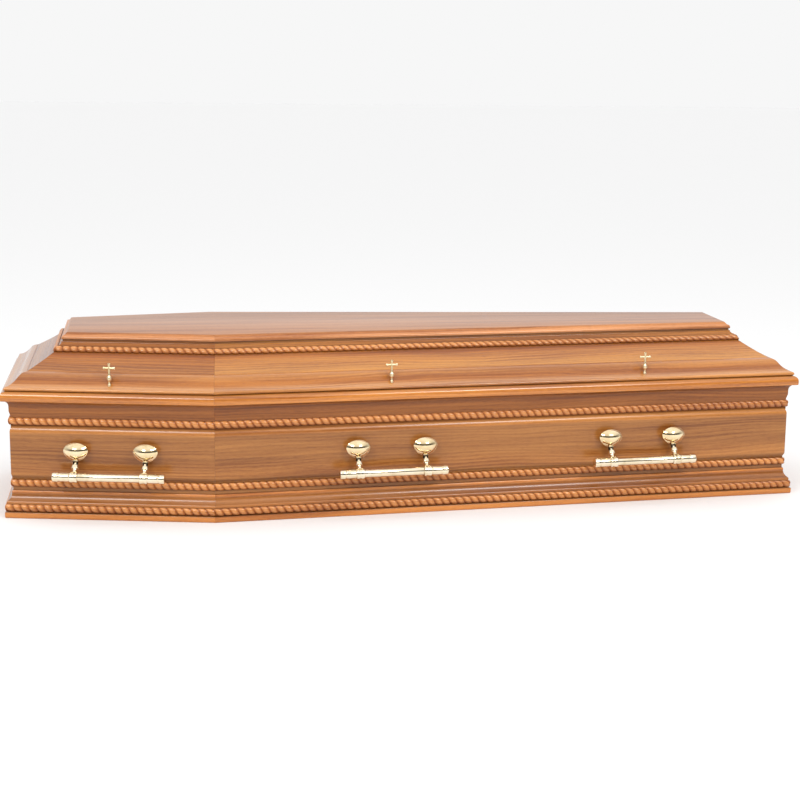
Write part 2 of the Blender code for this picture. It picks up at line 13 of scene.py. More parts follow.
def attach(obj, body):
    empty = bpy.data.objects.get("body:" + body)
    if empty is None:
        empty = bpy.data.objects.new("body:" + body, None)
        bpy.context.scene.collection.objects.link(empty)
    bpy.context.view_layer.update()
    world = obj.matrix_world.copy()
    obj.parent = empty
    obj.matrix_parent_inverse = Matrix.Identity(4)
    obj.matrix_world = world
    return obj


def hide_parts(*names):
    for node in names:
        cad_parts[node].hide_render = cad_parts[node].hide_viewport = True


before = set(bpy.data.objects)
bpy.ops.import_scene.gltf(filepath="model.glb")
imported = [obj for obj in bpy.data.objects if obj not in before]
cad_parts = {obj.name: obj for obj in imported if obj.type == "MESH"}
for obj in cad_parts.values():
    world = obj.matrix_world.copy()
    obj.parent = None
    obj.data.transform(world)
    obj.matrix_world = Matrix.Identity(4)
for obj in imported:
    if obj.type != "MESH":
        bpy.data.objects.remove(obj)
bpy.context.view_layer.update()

# Plan on the panel faces, as in the solids
LENGTH = 2.000
SHOULDER_FROM_HEAD = 0.494
HEAD_WIDTH = 0.480
SHOULDER_WIDTH = 0.680
FOOT_WIDTH = 0.432

# Play between neighbouring pieces
GAP = 0.0003

# Heights of the boards and of the middles of the ropes on the body
FLOOR_TOP = 0.0210
PLINTH_TOP = 0.0673
LOWER_ROPE_Z = 0.08485
UPPER_ROPE_Z = 0.24035
PLINTH_ROPE_Z = 0.02525
BODY_TOP = 0.2917
LID_Z = 0.2920

# Distances out from the panel faces, and the foot of the lid's neck as (out, z)
WALL_INSIDE = -0.0250
PLINTH_SEAT = -0.0083
PLINTH_BACK = -0.0080
LOWER_BAND = -0.0040
UPPER_BAND = -0.0030
PLINTH_ROPE_SEAT = 0.0105
OGEE_INSIDE = -0.0434
NECK_FOOT = (-0.1063, 0.3945)

# Ropes: lobe length, lean in lobes, half width and height, and the shares left of both in the cuts
ROPE_PITCH = 0.019
ROPE_LEAN = 0.7
ROPE_HALF = 0.00925
ROPE_CROWN = 0.0068
ROPE_GIRTH = 3 * ROPE_HALF
CUT_WIDTH = 0.76
CUT_HEIGHT = 0.26
LID_ROPE_HALF = 0.0080
LID_ROPE_CROWN = 0.0060
LID_ROPE_UP_NECK = 0.0012
LID_ROPE_LEAN = math.radians(38.0)

# Handles and their knobs; distances out are from the panel face
KNOB_Z = 0.1733
KNOB_SPACING = 0.171
KNOB_HALF_WIDTH = 0.0304
KNOB_RISE = 0.0206
KNOB_DROP = 0.0250
LUG_HALF = 0.0057
LUG_SLOT_HALF = 0.0030
LUG_RADIUS = 0.0038
TONGUE_HALF = 0.0024
TONGUE_RADIUS = 0.0037
PIVOT_OUT = 0.0218
PIVOT_DROP = 0.0304
ARM_LEAN = math.radians(38.0)
ARM_LENGTH = 0.0362
HANDLE_FROM_SHOULDER = 0.438
HANDLE_FROM_FOOT = 0.412

# Crosses: distance in from the panel face, height of the crossing, half thickness, and their places
CROSS_IN = 0.0090
CROSSING_UP = 0.0422
CROSS_HALF = 0.0023
CROSS_FROM_HEAD = 0.247
CROSS_FROM_SHOULDER = 0.442
CROSS_FROM_FOOT = 0.401

# Facets round the turned and the domed brass
BAR_FACETS = 44
ARM_FACETS = 32
PIN_FACETS = 18
DOME_FACETS = 72
STEM_FACETS = 24
LIMB_FACETS = 14

# Angles in degrees beyond which an edge stays sharp
WOOD_SHARP = 35.0
BRASS_SHARP = 40.0

# Wood: ends of the grain's range, pores, and the painted shade in the lobes' cuts and along their edges,
# darkest at the lower edge, as shares of a tone
GRAIN_DARK = (0.66, 0.56, 0.46)
GRAIN_LIGHT = (1.24, 1.32, 1.42)
PORE = (0.66, 0.58, 0.50)
WHOLE = (1.0, 1.0, 1.0)
LOBE_CUT_SHADE = [(0.0, (0.46, 0.30, 0.17)), (0.14, (0.74, 0.62, 0.48)), (0.30, WHOLE)]
LOBE_EDGE_SHADE = [(0.0, (0.26, 0.17, 0.10)), (0.20, (0.60, 0.50, 0.40)), (0.45, (0.88, 0.86, 0.82)),
             (0.65, WHOLE), (0.92, WHOLE), (1.0, (0.80, 0.72, 0.62))]

# Highest share of painted highlight that a colour ramp has to hold, and the lacquer left where the painted
# shade is darkest
PAINTED_LIGHT_RANGE = 2.0
LEAST_COAT = 0.02

# Light of the surroundings on the coffin, their level to the camera, and their light from the
# horizon in front, which polished brass shows as its dark line
WORLD_LIGHT = 1.22
WORLD_SEEN = 0.93
FRONT_HORIZON = 0.07

# Camera of the photograph
CAMERA_PLACE = (-0.645, -4.2068, 1.0731)
CAMERA_YAW = math.radians(-8.721)
CAMERA_DOWN = math.radians(11.259)
CAMERA_ROLL = math.radians(0.612)
CAMERA_LENS = 73.01
CAMERA_SENSOR = 36.0

SIDES = ("shoulder_right", "side_right", "foot", "side_left", "shoulder_left", "head")


def plan_corners():
    """Corners of the panel faces, anticlockwise from the right corner of the head end."""
    shoulder_x = SHOULDER_FROM_HEAD - LENGTH / 2
    right = [
        Vector((-LENGTH / 2, -HEAD_WIDTH / 2)),
        Vector((shoulder_x, -SHOULDER_WIDTH / 2)),
        Vector((LENGTH / 2, -FOOT_WIDTH / 2)),
    ]
    return right + [Vector((p.x, -p.y)) for p in reversed(right)]


CORNERS = plan_corners()


def along(side):
    """Unit direction of a side."""
    return (CORNERS[(side + 1) % 6] - CORNERS[side]).normalized()


def outward(side):
    """Unit direction out of a side."""
    direction = along(side)
    return Vector((direction.y, -direction.x))


def side_length(side):
    """Length of a side's panel face."""
    return (CORNERS[(side + 1) % 6] - CORNERS[side]).length


def mitre(corner):
    """How far a corner moves for each metre that both its sides move out."""
    before = outward((corner - 1) % 6)
    after = outward(corner)
    return (before + after) / (1.0 + before.dot(after))


def run_limits(side, out):
    """First and last place along a side, between its mitres, at a distance out."""
    direction = along(side)
    first = mitre(side).dot(direction) * out
    last = side_length(side) + mitre((side + 1) % 6).dot(direction) * out
    return first, last


def on_side(side, run, out, z):
    """Point of a side in the frame."""
    flat = CORNERS[side] + along(side) * run + outward(side) * out
    return (flat.x, flat.y, z)


def curve(start, end, bulge, steps):
    """Points strictly between start and end on a bow that stands bulge to the left of the chord."""
    chord = (end[0] - start[0], end[1] - start[1])
    length = math.hypot(*chord)
    normal = (-chord[1] / length, chord[0] / length)
    points = []
    for k in range(1, steps):
        t = k / steps
        lift = 4 * bulge * t * (1 - t)
        points.append((start[0] + chord[0] * t + normal[0] * lift,
                       start[1] + chord[1] * t + normal[1] * lift))
    return points


def section_line(start, *stretches):
    """Section from a start: (out, z) is a straight line to there, ((out, z), bulge, steps) a bow."""
    points = [start]
    for stretch in stretches:
        end = stretch
        if len(stretch) == 3:
            end, bulge, steps = stretch
            points += curve(points[-1], end, bulge, steps)
        points.append(end)
    return points


def tube_faces(rows, columns):
    """Faces of a tube whose points lie in rows, with its two caps last."""
    faces = []
    for r in range(rows - 1):
        for c in range(columns):
            d = (c + 1) % columns
            faces.append((r * columns + c, r * columns + d, (r + 1) * columns + d, (r + 1) * columns + c))
    for r in (0, rows - 1):
        faces.append(tuple(r * columns + c for c in range(columns)))
    return faces


def grid_object(name, points, uvs, material, sharp, replaces):
    """Closed tube from rows of points, with caps; uvs has one more column than points."""
    rows, columns = points.shape[:2]
    face_uvs = []
    for r in range(rows - 1):
        for c in range(columns):
            face_uvs.append((uvs[r, c], uvs[r, c + 1], uvs[r + 1, c + 1], uvs[r + 1, c]))
    for r in (0, rows - 1):
        face_uvs.append(tuple(uvs[r, c] for c in range(columns)))
    mesh = bpy.data.meshes.new(name)
    mesh.from_pydata(points.reshape(-1, 3).tolist(), [], tube_faces(rows, columns))
    flat = [value for face in face_uvs for pair in face for value in pair]
    mesh.uv_layers.new(name="along_grain").data.foreach_set("uv", flat)
    return finish_piece(name, mesh, material, "coffin", sharp, replaces)


def finish_piece(name, mesh, material, body, sharp, replaces):
    """Object from a mesh, shaded smooth between sharp edges, riding on its body."""
    if signed_volume(mesh) < 0:
        mesh.flip_normals()
    mesh.shade_smooth()
    if sharp:
        mesh.set_sharp_from_angle(angle=math.radians(sharp))
    mesh.materials.append(material)
    made = bpy.data.objects.new(name, mesh)
    bpy.context.scene.collection.objects.link(made)
    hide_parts(*replaces)
    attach(made, body)
    return made


def signed_volume(mesh):
    """Six times the volume, negative where the faces look inward."""
    mesh.calc_loop_triangles()
    corners = np.empty(len(mesh.loop_triangles) * 3, np.int32)
    mesh.loop_triangles.foreach_get("vertices", corners)
    places = np.empty(len(mesh.vertices) * 3, np.float32)
    mesh.vertices.foreach_get("co", places)
    triangles = places.reshape(-1, 3)[corners.reshape(-1, 3)].astype(float)
    return float(np.einsum("ij,ij->i", triangles[:, 0], np.cross(triangles[:, 1], triangles[:, 2])).sum())


def running_lengths(line):
    """Length of a line of points up to each of them."""
    lengths = [0.0]
    for (a, b), (c, d) in zip(line, line[1:]):
        lengths.append(lengths[-1] + math.hypot(c - a, d - b))
    return lengths


def board(name, side, section, material, replaces):
    """Mitred board along a side, with its grain along it."""
    lengths = running_lengths([*section, section[0]])
    turn_start = outward((side - 1) % 6).angle(outward(side))
    turn_end = outward(side).angle(outward((side + 1) % 6))
    start_trim = GAP / 2 / math.cos(turn_start / 2)
    end_trim = GAP / 2 / math.cos(turn_end / 2)
    points = np.empty((2, len(section), 3))
    uvs = np.empty((2, len(section) + 1, 2))
    for k, (out, z) in enumerate(section):
        first, last = run_limits(side, out)
        for row, run in ((0, first + start_trim), (1, last - end_trim)):
            points[row, k] = on_side(side, run, out, z)
            uvs[row, k] = (run, lengths[k])
    uvs[:, -1, 0] = uvs[:, 0, 0]
    uvs[:, -1, 1] = lengths[-1]
    return grid_object(name, points, uvs, material, WOOD_SHARP, replaces)


def wall_section():
    """Wall with its lower band, raised panel, upper band, frieze and cove."""
    return section_line(
        (WALL_INSIDE, FLOOR_TOP + GAP), (PLINTH_SEAT, FLOOR_TOP + GAP), (PLINTH_SEAT, PLINTH_TOP + GAP),
        (LOWER_BAND, PLINTH_TOP + GAP), (LOWER_BAND, 0.0983), ((0.0, 0.1088), -0.0008, 5),
        (0.0, 0.2110), ((UPPER_BAND, 0.2228), -0.0010, 8),
        (UPPER_BAND, 0.2520), ((0.0004, 0.2640), 0.0003, 6),
        (0.0006, 0.2770), ((0.0085, 0.2902), 0.0022, 7),
        (0.0085, BODY_TOP), (WALL_INSIDE, BODY_TOP))


def plinth_section():
    """Plinth moulding: base fillet, seat of the rope, fillet, cove and rounded cap."""
    return section_line(
        (PLINTH_BACK, 0.0), (0.0145, 0.0), ((0.0170, 0.0035), -0.0007, 4),
        (0.0170, 0.0125), ((0.0152, 0.0148), -0.0005, 4),
        (PLINTH_ROPE_SEAT, 0.0152), (PLINTH_ROPE_SEAT, 0.0353), (0.0113, 0.0358),
        ((0.0100, 0.0412), -0.0006, 5), (0.0090, 0.0420), ((-0.0010, 0.0600), 0.0026, 10),
        (-0.0008, 0.0612), ((-0.0038, PLINTH_TOP), -0.0013, 7), (PLINTH_BACK, PLINTH_TOP))


def smooth_line(points, steps):
    """Points on a smooth curve through the given ones."""
    out = []
    padded = [points[0], *points, points[-1]]
    for k in range(1, len(padded) - 2):
        p0, p1, p2, p3 = (np.array(p) for p in padded[k - 1:k + 3])
        for s in range(steps):
            t = s / steps
            out.append(tuple(0.5 * ((2 * p1) + (p2 - p0) * t + (2 * p0 - 5 * p1 + 4 * p2 - p3) * t * t
                                    + (3 * p1 - p0 - 3 * p2 + p3) * t ** 3)))
    out.append(tuple(points[-1]))
    return out


def lid_frame_section():
    """Lid frame: rounded rim, quirk, lip and ogee."""
    rim = smooth_line([(0.0178, LID_Z), (0.0197, 0.2930), (0.0205, 0.2975), (0.0203, 0.3035),
                       (0.0194, 0.3078), (0.0170, 0.3116), (0.0135, 0.3140), (0.0102, 0.3150)], 3)
    quirk = [(0.0078, 0.3155), (0.0072, 0.3163), (0.0076, 0.3171)]
    lip = smooth_line([(0.0098, 0.3180), (0.0107, 0.3200), (0.0103, 0.3226), (0.0087, 0.3246),
                       (0.0062, 0.3256)], 4)
    ogee = smooth_line([(0.0050, 0.3258), (0.0000, 0.3274), (-0.0065, 0.3306), (-0.0130, 0.3352),
                        (-0.0180, 0.3397), (-0.0232, 0.3458), (-0.0275, 0.3505), (-0.0340, 0.3545),
                        (-0.0433, 0.3569)], 4)
    return rim + quirk + lip + ogee + [(-0.0433, 0.3395), (-0.0598, 0.3395), (-0.0598, LID_Z)]


def lid_slope_section():
    """Sloping lid board with the neck under the top board."""
    return section_line(
        (-0.0595, 0.3398), (OGEE_INSIDE, 0.3398), (OGEE_INSIDE, 0.3563), (NECK_FOOT, 0.0009, 8),
        (-0.1176, 0.4090), ((-0.1240, 0.4148), 0.0006, 4), (-0.1250, 0.4158),
        ((-0.1258, 0.4189), -0.0005, 4), (-0.1284, 0.4192), (-0.1284, 0.4234), (-0.1455, 0.4234),
        (-0.1455, 0.3945))


def lid_top_profile():
    """Moulded edge of the top board, from its underside in."""
    lip = smooth_line([(-0.1268, 0.4238), (-0.1257, 0.4245), (-0.1253, 0.4268), (-0.1257, 0.4296),
                       (-0.1274, 0.4324), (-0.1298, 0.4337)], 4)
    cove = smooth_line([(-0.1303, 0.4338), (-0.1326, 0.4346), (-0.1346, 0.4363), (-0.1362, 0.4386),
                        (-0.1380, 0.4402), (-0.1404, 0.4410)], 4)
    return lip + cove


def top_board(name, material, replaces):
    """Top board of the lid: moulded edge on all six sides, flat above and below."""
    profile = lid_top_profile()
    rings = len(profile)
    vertices = []
    for out, z in profile:
        for corner in range(6):
            flat = CORNERS[corner] + mitre(corner) * out
            vertices.append((flat.x, flat.y, z))
    lengths = running_lengths(profile)
    # The grain of each side's edge starts in a place of its own, away from the flat top's
    side_shift = 3.7
    edge_shift = 0.5
    faces = []
    uvs = []
    for ring in range(rings - 1):
        lower = ring * 6
        upper = lower + 6
        for side in range(6):
            following = (side + 1) % 6
            faces.append((lower + side, lower + following, upper + following, upper + side))
            for row, end in ((0, 0), (0, 1), (1, 1), (1, 0)):
                run = run_limits(side, profile[ring + row][0])[end]
                uvs += [run + side * side_shift, lengths[ring + row] + edge_shift]
    for ring in (0, rings - 1):
        faces.append(tuple(ring * 6 + corner for corner in range(6)))
        for corner in range(6):
            place = vertices[ring * 6 + corner]
            uvs += [place[0], place[1]]
    mesh = bpy.data.meshes.new(name)
    mesh.from_pydata(vertices, [], faces)
    mesh.uv_layers.new(name="along_grain").data.foreach_set("uv", uvs)
    made = finish_piece(name, mesh, material, "coffin", WOOD_SHARP, replaces)
    corner_of = [v % 6 for v in range(len(vertices))]
    for edge in mesh.edges:
        a, b = edge.vertices
        if corner_of[a] == corner_of[b]:
            edge.use_edge_sharp = True
    return made


def rope_strip(name, side, seat, up, out, half, crown, material, replaces):
    """Carved rope along one side: plump lobes that lean over a half-round, cut to the mitres."""
    lobe_rows = 12
    crown_out = seat.x + out.x * crown
    first, last = run_limits(side, crown_out)
    lobes = max(1, round((last - first) / ROPE_PITCH))
    rows = lobes * lobe_rows + 1
    columns = 13
    t = np.linspace(0.0, 1.0, rows)
    theta = np.linspace(0.0, math.pi, columns)
    phase = t[:, None] * lobes + ROPE_LEAN * (theta[None, :] / math.pi - 0.5)
    swell = np.sqrt(1.0 - (2.0 * (phase % 1.0) - 1.0) ** 2)
    width_left = CUT_WIDTH + (1.0 - CUT_WIDTH) * swell
    height_left = CUT_HEIGHT + (1.0 - CUT_HEIGHT) * swell
    across = -np.cos(theta)[None, :] * half * width_left
    height = GAP + np.sin(theta)[None, :] ** 0.9 * (crown - GAP) * height_left
    place_out = seat.x + up.x * across + out.x * height
    place_z = seat.y + up.y * across + out.y * height
    direction = along(side)
    start_turn = mitre(side).dot(direction)
    end_turn = mitre((side + 1) % 6).dot(direction)
    start = start_turn * place_out + GAP / 2
    end = side_length(side) + end_turn * place_out - GAP / 2
    run = start + (end - start) * t[:, None]
    normal = outward(side)
    corner = CORNERS[side]
    points = np.empty((rows, columns, 3))
    points[:, :, 0] = corner.x + direction.x * run + normal.x * place_out
    points[:, :, 1] = corner.y + direction.y * run + normal.y * place_out
    points[:, :, 2] = place_z
    uvs = np.empty((rows, columns + 1, 2))
    uvs[:, :-1, 0] = phase * ROPE_PITCH
    uvs[:, :-1, 1] = theta[None, :] / math.pi * ROPE_GIRTH
    uvs[:, -1] = uvs[:, 0]
    return grid_object(name, points, uvs, material, None, replaces)


class Nodes:
    """Small helper to wire the nodes of a material or of the world."""

    def __init__(self, owner):
        owner.use_nodes = True
        self.owner = owner
        self.tree = owner.node_tree

    def feed(self, made, **inputs):
        """Feeds inputs, by name with _ for spaces or by index as i0, from an output or a value."""
        for key, value in inputs.items():
            if key[0] == "i" and key[1:].isdigit():
                socket = made.inputs[int(key[1:])]
            else:
                socket = made.inputs[key.replace("_", " ")]
            if isinstance(value, bpy.types.NodeSocket):
                self.tree.links.new(value, socket)
            else:
                socket.default_value = value
        return made

    def node(self, kind, **inputs):
        """New node with its inputs fed."""
        return self.feed(self.tree.nodes.new(kind), **inputs)

    def surface(self, **inputs):
        """Material whose surface shader has its inputs fed."""
        self.feed(self.tree.nodes["Principled BSDF"], **inputs)
        return self.owner

    def math(self, operation, first, second=0.0, third=0.0):
        """Math node."""
        made = self.node("ShaderNodeMath", i0=first, i1=second, i2=third)
        made.operation = operation
        return made.outputs[0]

    def vector(self, operation, first, second):
        """Vector math node."""
        made = self.node("ShaderNodeVectorMath", i0=first, i1=second)
        made.operation = operation
        return made.outputs[0]

    def part(self, vector, index):
        """Component of a vector."""
        return self.node("ShaderNodeSeparateXYZ", Vector=vector).outputs[index]

    def noise(self, place, scale, detail, roughness):
        """Noise with a scale of its own along each axis."""
        return self.node("ShaderNodeTexNoise", Vector=self.vector("MULTIPLY", place, scale), Scale=1.0,
                         Detail=detail, Roughness=roughness).outputs[0]

    def ramp(self, value, stops):
        """Colour ramp with (place, colour) stops."""
        made = self.node("ShaderNodeValToRGB", i0=value)
        elements = made.color_ramp.elements
        while len(elements) < len(stops):
            elements.new(0.5)
        for element, (place, colour) in zip(elements, stops):
            element.position = place
            element.color = (*colour, 1.0)
        return made.outputs[0]

    def by_height(self, place, heights):
        """Colour ramp over the height in the frame, from (z, colour) pairs."""
        low = heights[0][0]
        span = heights[-1][0] - low
        stops = [((height - low) / span, colour) for height, colour in heights]
        return self.ramp(self.math("MULTIPLY_ADD", self.part(place, 2), 1.0 / span, -low / span), stops)

    def mix(self, share, first, second, blend="MIX"):
        """Colour mix."""
        made = self.node("ShaderNodeMix")
        made.data_type = "RGBA"
        made.blend_type = blend
        self.feed(made, i0=share, i6=first, i7=second)
        return made.outputs[2]


def srgb(red, green, blue):
    """Linear colour from 0-255 values, each of them over 10."""
    return tuple(((v / 255 + 0.055) / 1.055) ** 2.4 for v in (red, green, blue))


def even(share):
    """Share of a tone as red, green and blue."""
    return share if isinstance(share, tuple) else (share,) * 3


def wood_material(name, tone, roughness, coat, figure=0.3, heights=(), shade_rope_lobes=False):
    """Lacquered wood in a tone: long grain, arched figure, fine pores, painted shade in the grooves and
    painted highlights on the arrises.

    heights gives (z, share of the tone) pairs of painted shade in grooves, recesses and under lips and of
    painted highlights on arrises; the rope flag paints shade in the cuts between a rope's lobes and along
    their edges.
    The lacquer thins out where this painted shade is dark.
    """
    nodes = Nodes(bpy.data.materials.new(name))
    uv = nodes.node("ShaderNodeUVMap").outputs[0]
    own = nodes.node("ShaderNodeObjectInfo").outputs["Random"]
    offset = nodes.node("ShaderNodeCombineXYZ", X=nodes.math("MULTIPLY", own, 31.0),
                        Y=nodes.math("MULTIPLY", own, 7.3))
    place = nodes.vector("ADD", uv, offset.outputs[0])
    wander = nodes.noise(place, (1.6, 8.0, 1.0), 2.0, 0.5)
    shift = nodes.math("MULTIPLY", nodes.math("SUBTRACT", wander, 0.5), 0.05)
    bent = nodes.vector("ADD", place, nodes.node("ShaderNodeCombineXYZ", Y=shift).outputs[0])
    arches = nodes.node("ShaderNodeTexWave", Vector=nodes.vector("MULTIPLY", bent, (2.6, 34.0, 1.0)),
                        Scale=1.0, Distortion=5.0, Detail=3.0, Detail_Scale=0.7, Detail_Roughness=0.6)
    arches.bands_direction = "Y"
    streaks = nodes.noise(bent, (2.5, 210.0, 1.0), 6.0, 0.66)
    broad = nodes.noise(bent, (1.3, 26.0, 1.0), 3.0, 0.55)
    flecks = nodes.noise(bent, (38.0, 620.0, 1.0), 3.0, 0.6)
    pores = nodes.noise(bent, (60.0, 1700.0, 1.0), 2.0, 0.5)
    grain = nodes.math("MULTIPLY_ADD", own, 0.08, 0.46)
    for texture, weight in ((streaks, 1.3), (broad, 1.9), (flecks, 0.8),
                            (arches.outputs["Fac"], 0.26 * figure)):
        grain = nodes.math("ADD", grain, nodes.math("MULTIPLY_ADD", texture, weight, -weight / 2))
    dark = tuple(c * share for c, share in zip(tone, GRAIN_DARK))
    light = tuple(min(1.0, c * share) for c, share in zip(tone, GRAIN_LIGHT))
    colour = nodes.ramp(grain, [(0.12, dark), (0.50, tone), (0.88, light)])
    pore = nodes.ramp(pores, [(0.33, PORE), (0.43, WHOLE)])
    colour = nodes.mix(0.8, colour, pore, "MULTIPLY")
    lacquer = coat
    # Painted shade and painted highlights by height, the same on every side
    if heights:
        spot = nodes.node("ShaderNodeTexCoord").outputs["Object"]
        painted_light = nodes.by_height(spot, [(z, tuple(part / PAINTED_LIGHT_RANGE for part in even(share)))
                                         for z, share in heights])
        colour = nodes.mix(1.0, colour, painted_light, "MULTIPLY")
        colour = nodes.vector("MULTIPLY", colour, even(PAINTED_LIGHT_RANGE))
        lacquer = nodes.ramp(painted_light, [(0.12, even(LEAST_COAT)), (0.45, even(coat))])
    # Painted shade in the cuts between a rope's lobes and along the lobes' edges, darkest at the lower edge
    if shade_rope_lobes:
        lobe = nodes.math("FRACT", nodes.math("DIVIDE", nodes.part(uv, 0), ROPE_PITCH))
        from_cut = nodes.math("SUBTRACT", 0.5, nodes.math("ABSOLUTE", nodes.math("SUBTRACT", lobe, 0.5)))
        over_rope = nodes.math("DIVIDE", nodes.part(uv, 1), ROPE_GIRTH)
        shade = nodes.mix(1.0, nodes.ramp(from_cut, LOBE_CUT_SHADE), nodes.ramp(over_rope, LOBE_EDGE_SHADE), "MULTIPLY")
        colour = nodes.mix(1.0, colour, shade, "MULTIPLY")
        lacquer = nodes.ramp(shade, [(0.25, even(LEAST_COAT)), (0.85, even(coat))])
    bump = nodes.node("ShaderNodeBump", Strength=0.12, Distance=0.0005,
                      Height=nodes.math("ADD", streaks, pores))
    return nodes.surface(Base_Color=colour, Specular_IOR_Level=0.25, Coat_Weight=lacquer,
                         Roughness=nodes.math("MULTIPLY_ADD", streaks, 0.16, roughness - 0.08),
                         Coat_Roughness=0.20, Normal=bump.outputs[0])


def brass_material(name, roughness, darkening=()):
    """Polished pale brass with polishing marks; the last argument gives (z, share of the tone) pairs that
    darken the colour by height.
    """
    nodes = Nodes(bpy.data.materials.new(name))
    place = nodes.node("ShaderNodeTexCoord").outputs["Object"]
    cloud = nodes.node("ShaderNodeTexNoise", Vector=place, Scale=38.0, Detail=4.0, Roughness=0.55).outputs[0]
    marks = nodes.noise(place, (90.0, 900.0, 900.0), 2.0, 0.5)
    colour = nodes.ramp(cloud, [(0.28, srgb(222, 203, 166)), (0.50, srgb(240, 226, 196)),
                                (0.75, srgb(247, 237, 216))])
    # Darker by height: painted shade on the knobs' lugs and pins under the domes, and the crosses darker
    # towards the foot
    if darkening:
        darkened = nodes.by_height(place, [(z, (share, share * 0.92, share * 0.78)) for z, share in darkening])
        colour = nodes.mix(1.0, colour, darkened, "MULTIPLY")
    bump = nodes.node("ShaderNodeBump", Strength=0.05, Distance=0.0003, Height=marks)
    return nodes.surface(Base_Color=colour, Metallic=1.0,
                         Roughness=nodes.math("MULTIPLY_ADD", cloud, 0.12, roughness - 0.06),
                         Normal=bump.outputs[0])


def revolve(profile, turns, axis_place, axis, across):
    """Rows of points round an axis: profile gives (run along the axis, radius)."""
    third = axis.cross(across)
    angles = np.linspace(0.0, 2 * math.pi, turns, endpoint=False)
    ring = (np.array(across)[None, :] * np.cos(angles)[:, None]
            + np.array(third)[None, :] * np.sin(angles)[:, None])
    rows = [np.array(axis_place) + np.array(axis) * run + ring * radius for run, radius in profile]
    return np.array(rows)


def tube_mesh(points):
    """Vertices and faces of a closed tube with capped ends."""
    return points.reshape(-1, 3), tube_faces(*points.shape[:2])


def joined_mesh(name, parts):
    """One mesh from several closed shells, each with its faces turned outward."""
    vertices = []
    faces = []
    for points, part_faces in parts:
        base = len(vertices)
        shell = bpy.data.meshes.new("shell")
        shell.from_pydata(points.tolist(), [], part_faces)
        if signed_volume(shell) < 0:
            part_faces = [tuple(reversed(face)) for face in part_faces]
        bpy.data.meshes.remove(shell)
        vertices += points.tolist()
        faces += [tuple(base + v for v in face) for face in part_faces]
    mesh = bpy.data.meshes.new(name)
    mesh.from_pydata(vertices, [], faces)
    return mesh


def fitting_matrix(side, run, out, z):
    """Place of a fitting: X along the side, -Y out of it, Z up."""
    direction = along(side)
    turn = math.atan2(direction.y, direction.x)
    return Matrix.Translation(on_side(side, run, out, z)) @ Matrix.Rotation(turn, 4, "Z")


RIGHT = Vector((1.0, 0.0, 0.0))
OUT = Vector((0.0, -1.0, 0.0))
UP = Vector((0.0, 0.0, 1.0))


def rounded(points, radius, steps):
    """Profile with all its corners but the two ends rounded."""
    out = [points[0]]
    for before, here, after in zip(points, points[1:], points[2:]):
        p, q, r = (np.array(v, float) for v in (before, here, after))
        back = min(radius, np.linalg.norm(p - q) * 0.45)
        ahead = min(radius, np.linalg.norm(r - q) * 0.45)
        a = q + (p - q) / max(np.linalg.norm(p - q), 1e-9) * back
        b = q + (r - q) / max(np.linalg.norm(r - q), 1e-9) * ahead
        for k in range(steps + 1):
            t = k / steps
            out.append(tuple((1 - t) ** 2 * a + 2 * t * (1 - t) * q + t * t * b))
    out.append(points[-1])
    return out


def handle_parts():
    """Bar, ferrules, collars and arms of a handle about its pivot axis."""
    down_arm = OUT * math.sin(ARM_LEAN) - UP * math.cos(ARM_LEAN)
    through = down_arm.cross(RIGHT)
    arm_x = KNOB_SPACING / 2
    half_profile = [
        (0.1370, 0.0015), (0.1370, 0.0116), (0.1355, 0.0125), (0.1245, 0.0126), (0.1228, 0.0120),
        (0.1222, 0.0112), (0.1205, 0.0112), (0.1196, 0.0116), (0.0978, 0.0116), (0.0970, 0.0112),
        (0.0962, 0.0112), (0.0955, 0.0128), (0.0940, 0.0137), (0.0895, 0.0139), (0.0878, 0.0131),
        (0.0832, 0.0131), (0.0815, 0.0139), (0.0770, 0.0137), (0.0755, 0.0128), (0.0748, 0.0104),
    ]
    profile = half_profile + [(0.0, 0.0102)] + [(-x, r) for x, r in reversed(half_profile)]
    bar = revolve(rounded(profile, 0.0006, 2), BAR_FACETS, down_arm * ARM_LENGTH, RIGHT, OUT)
    parts = [tube_mesh(bar)]
    arm_profile = [
        (0.0054, 0.0012), (0.0054, 0.0080), (0.0064, 0.0093), (0.0138, 0.0093), (0.0148, 0.0084),
        (0.0151, 0.0060), (0.0180, 0.0057), (0.0225, 0.0066), (0.0270, 0.0076),
    ]
    for end in (-1, 1):
        foot = RIGHT * arm_x * end
        arm = revolve(rounded(arm_profile, 0.0005, 2), ARM_FACETS, foot, down_arm, RIGHT)
        parts.append(tube_mesh(arm))
        turns = [math.radians(a) for a in range(-90, 91, 15)]
        line = [(-math.cos(a) * TONGUE_RADIUS, math.sin(a) * TONGUE_RADIUS) for a in turns]
        line += [(0.0056, TONGUE_RADIUS), (0.0056, -TONGUE_RADIUS)]
        rows = [[tuple(foot + RIGHT * x + down_arm * run * shrink + through * y * shrink) for run, y in line]
                for x, shrink in ((-TONGUE_HALF, 0.94), (-0.0021, 1.0), (0.0021, 1.0),
                                  (TONGUE_HALF, 0.94))]
        parts.append(tube_mesh(np.array(rows)))
    return parts


def knob_outline(turn):
    """Outline of the dome: an oval with blunt ends and a lower half that narrows to a point."""
    wide = math.cos(turn)
    high = math.sin(turn)
    x = KNOB_HALF_WIDTH * math.copysign(abs(wide) ** 0.97, wide)
    z = KNOB_RISE * high if high > 0 else -KNOB_DROP * abs(high) ** 1.25
    return x, z


